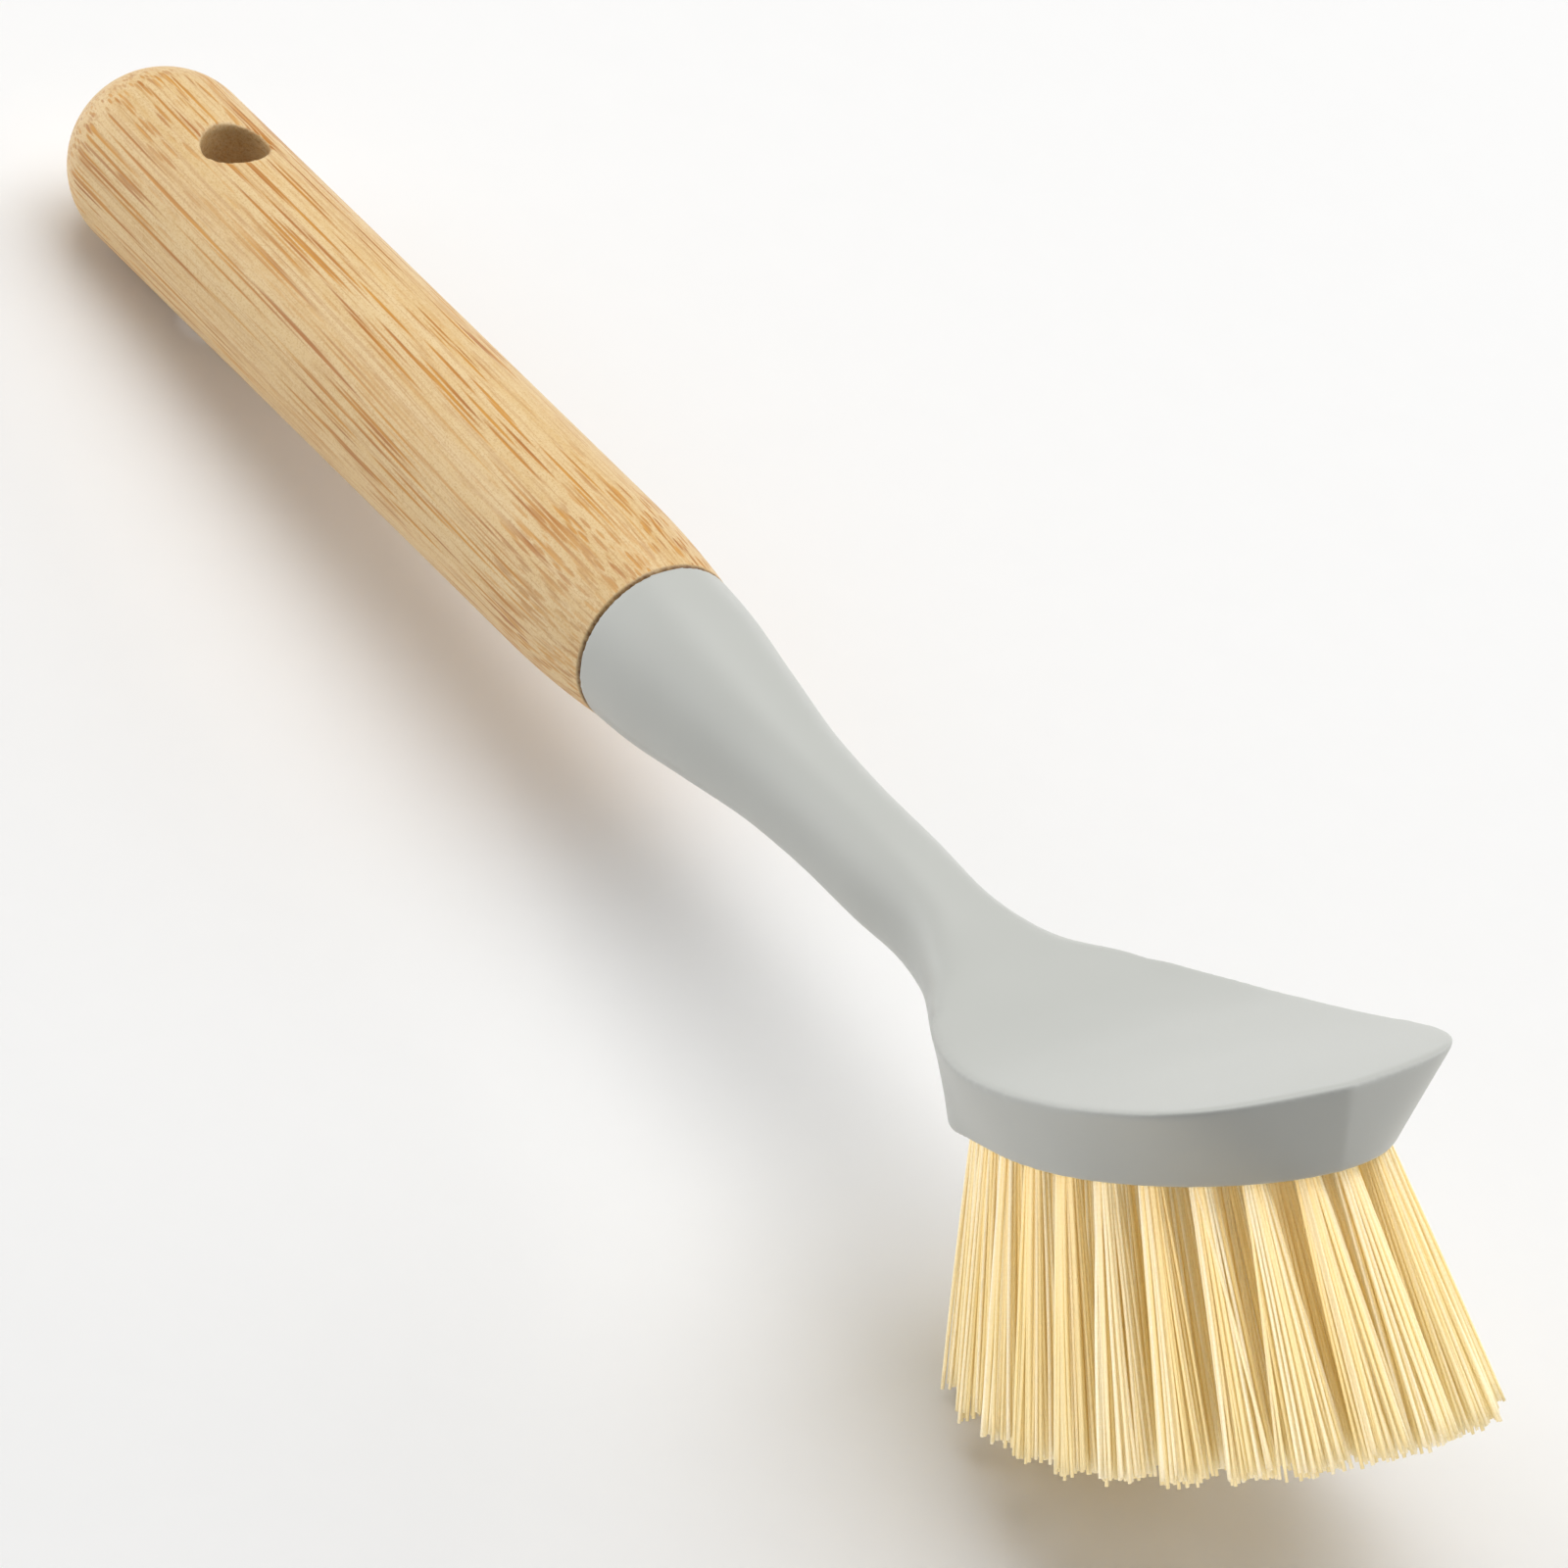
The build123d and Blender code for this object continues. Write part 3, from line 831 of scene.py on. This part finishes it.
def head_and_neck(material):
    """The whole moulding as one even skin."""
    soup = Soup()
    head_block(soup)
    neck_and_fishtail(soup)
    tang(soup)
    blank = add_object("grey_moulding", soup.mesh("grey_moulding", MILLIMETRES))
    mesh = remeshed(blank, "grey_moulding", MESH_VOXEL)
    set_points(mesh, lying(eased_moulding(mesh, mesh_points(mesh))))
    moulding = finished("grey_moulding", mesh, material)
    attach(moulding, "root")
    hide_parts("head_and_neck")
    return moulding


# Tufts

def tuft_frame(node):
    """Root on the face and unit axis of a CAD tuft, in the head's frame."""
    middle = standing(mesh_points(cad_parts[node].data)).mean(0)
    fan = np.array(FAN_CENTRE)
    axis = unit(middle - fan)
    return fan - axis * fan[2] / axis[2], axis


def filament_paths(root, axis, rng):
    """Centre lines of a tuft's filaments in the frame of the floor, each ended just above the floor."""
    side = np.cross(axis, (0, 0, 1.0))
    side = unit(side) if np.linalg.norm(side) > 1e-6 else np.array([1.0, 0, 0])
    across = np.cross(axis, side)
    trim = END_TRIM * ((root[0] + LONGEST_FROM_NOSE) / LONGEST_FROM_NOSE) ** 2
    start_turn = rng.uniform(0, 2 * pi)
    share = np.linspace(0, 1, FILAMENT_RINGS)[:, None]
    paths = []
    for i in range(FILAMENTS):
        radius = (TUFT_RADIUS - FILAMENT_RADIUS) * sqrt((i + 0.5) / FILAMENTS)
        turn = start_turn + i * GOLDEN_ANGLE
        spot = radius * np.array([cos(turn), sin(turn)])
        stray = STRAY_SCATTER if rng.random() < STRAY_SHARE else 1.0
        tip = spot * TIP_SPREAD + rng.normal(0, TIP_SCATTER, 2) * stray
        bow = rng.normal(0, BOW_SCATTER, 2)
        length = BRISTLE_LENGTH - trim + rng.normal(0, LENGTH_SCATTER)
        reach = -ROOT_DEPTH + (length + ROOT_DEPTH) * share
        flat = spot + (tip - spot) * (reach / length) + bow * np.sin(pi * share)
        line = root + axis * reach + side * flat[:, :1] + across * flat[:, 1:]
        line[:, 1] /= 1 + (max(abs(line[-1, 1]) / TIP_REACH, 1) - 1) * share[:, 0] ** 2
        paths.append(ended_on_floor(lying(line)))
    return paths


def ended_on_floor(line):
    """A filament's line, drawn back along itself so that its tip stays above the floor."""
    low = np.nonzero(line[:, 2] < FLOOR_CLEARANCE)[0]
    if len(low) == 0:
        return line
    first = max(low[0], 1)
    share = (line[first - 1, 2] - FLOOR_CLEARANCE) / (line[first - 1, 2] - line[first, 2])
    stop = (first - 1 + share) / (len(line) - 1)
    places = np.linspace(0, stop, len(line)) * (len(line) - 1)
    return np.column_stack([np.interp(places, np.arange(len(line)), line[:, k]) for k in range(3)])


def tuft(node, material, rng):
    """Bundle of separate filaments that stands for a CAD tuft."""
    root, axis = tuft_frame(node)
    turns = ring_turns(FILAMENT_SIDES)
    soup = Soup()
    along = []
    tints = []
    for line in filament_paths(root, axis, rng):
        run = unit(line[-1] - line[0])
        side = unit(np.cross(run, (0, 1.0, 0)))
        over = np.cross(run, side)
        thick = FILAMENT_RADIUS * rng.uniform(*THICKNESS_RANGE)
        ring = thick * (np.cos(turns)[:, None] * side + np.sin(turns)[:, None] * over)
        soup.add(line[:, None, :] + ring[None, :, :], closed=True, capped=True)
        along.append(np.repeat(np.linspace(0, 1, len(line)), FILAMENT_SIDES))
        tints.append(np.full(len(line) * FILAMENT_SIDES, rng.random()))
    name = node.replace("tuft", "bristles")
    mesh = soup.mesh(name)
    set_values(mesh, "along", np.concatenate(along))
    set_values(mesh, "tint", np.concatenate(tints))
    piece = finished(name, mesh, material)
    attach(piece, "root")
    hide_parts(node)
    return piece


# Floor, lights and camera

def studio_floor():
    """Wide level floor at z = 0."""
    floor = Soup()
    rows = [[(x, y, 0.0) for x in (-FLOOR_REACH, FLOOR_REACH)] for y in (-FLOOR_REACH, FLOOR_REACH)]
    floor.add(np.array(rows))
    mesh = floor.mesh("floor")
    mesh.materials.append(floor_material())
    add_object("floor", mesh)


def area_light(name, direction, distance, size, power, colour):
    """Soft square light that shines at the brush from a direction."""
    light = bpy.data.lights.new(name, "AREA")
    light.shape = "SQUARE"
    light.size = size
    light.energy = power
    light.color = colour
    lamp = bpy.data.objects.new(name, light)
    back = Vector(direction).normalized()
    lamp.location = back * distance + Vector(LIGHT_AIM)
    lamp.rotation_euler = back.to_track_quat("Z", "Y").to_euler()
    bpy.context.scene.collection.objects.link(lamp)
    return lamp


def gathered(name, pieces):
    """Collection of pieces, for a light that is linked to them."""
    group = bpy.data.collections.new(name)
    for piece in pieces:
        group.objects.link(piece)
    return group


def studio_light(tufts, solids):
    """Large soft lights, and fills on the tufts that stand for light scattered inside them."""
    for light in LIGHTS:
        area_light(*light)
    receivers = gathered("lit_tufts", tufts)
    blockers = gathered("shading_solids", solids)
    for name, direction, power in TUFT_FILLS:
        fill = area_light(name, direction, FILL_DISTANCE, FILL_SIZE, power, FILL_COLOUR)
        fill.light_linking.receiver_collection = receivers
        glow_power = power * GLOW_SHARE
        glow = area_light(name + "_glow", direction, FILL_DISTANCE, FILL_SIZE, glow_power, GLOW_COLOUR)
        glow.light_linking.receiver_collection = receivers
        glow.light_linking.blocker_collection = blockers
    world = bpy.data.worlds.new("studio")
    world.use_nodes = True
    background = world.node_tree.nodes["Background"]
    background.inputs["Color"].default_value = (*WHITE, 1)
    background.inputs["Strength"].default_value = WORLD_STRENGTH
    bpy.context.scene.world = world


def studio_camera():
    """Camera at the photograph's viewing angle."""
    camera = bpy.data.cameras.new("camera")
    camera.lens = CAMERA_LENS
    camera.sensor_width = CAMERA_SENSOR
    camera.clip_end = CAMERA_FAR
    back = Vector(CAMERA_BACK).normalized()
    right = Vector(CAMERA_UP).cross(back).normalized()
    up = back.cross(right)
    turn = Matrix((right, up, back)).transposed()
    eye = bpy.data.objects.new("camera", camera)
    eye.matrix_world = Matrix.Translation(CAMERA_PLACE) @ turn.to_4x4()
    bpy.context.scene.collection.objects.link(eye)
    bpy.context.scene.camera = eye


bpy.context.scene.view_settings.view_transform = "Standard"
studio_floor()
studio_camera()
solids = [bamboo_handle(bamboo_material()), head_and_neck(plastic_material())]
fibre = fibre_material()
tuft_names = sorted(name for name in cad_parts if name.startswith("tuft_") and name != "tuft_anchors")
tufts = [tuft(node, fibre, np.random.default_rng(number + 1)) for number, node in enumerate(tuft_names)]
studio_light(tufts, solids)
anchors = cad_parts["tuft_anchors"].data
anchors.materials.clear()
anchors.materials.append(anchor_material())
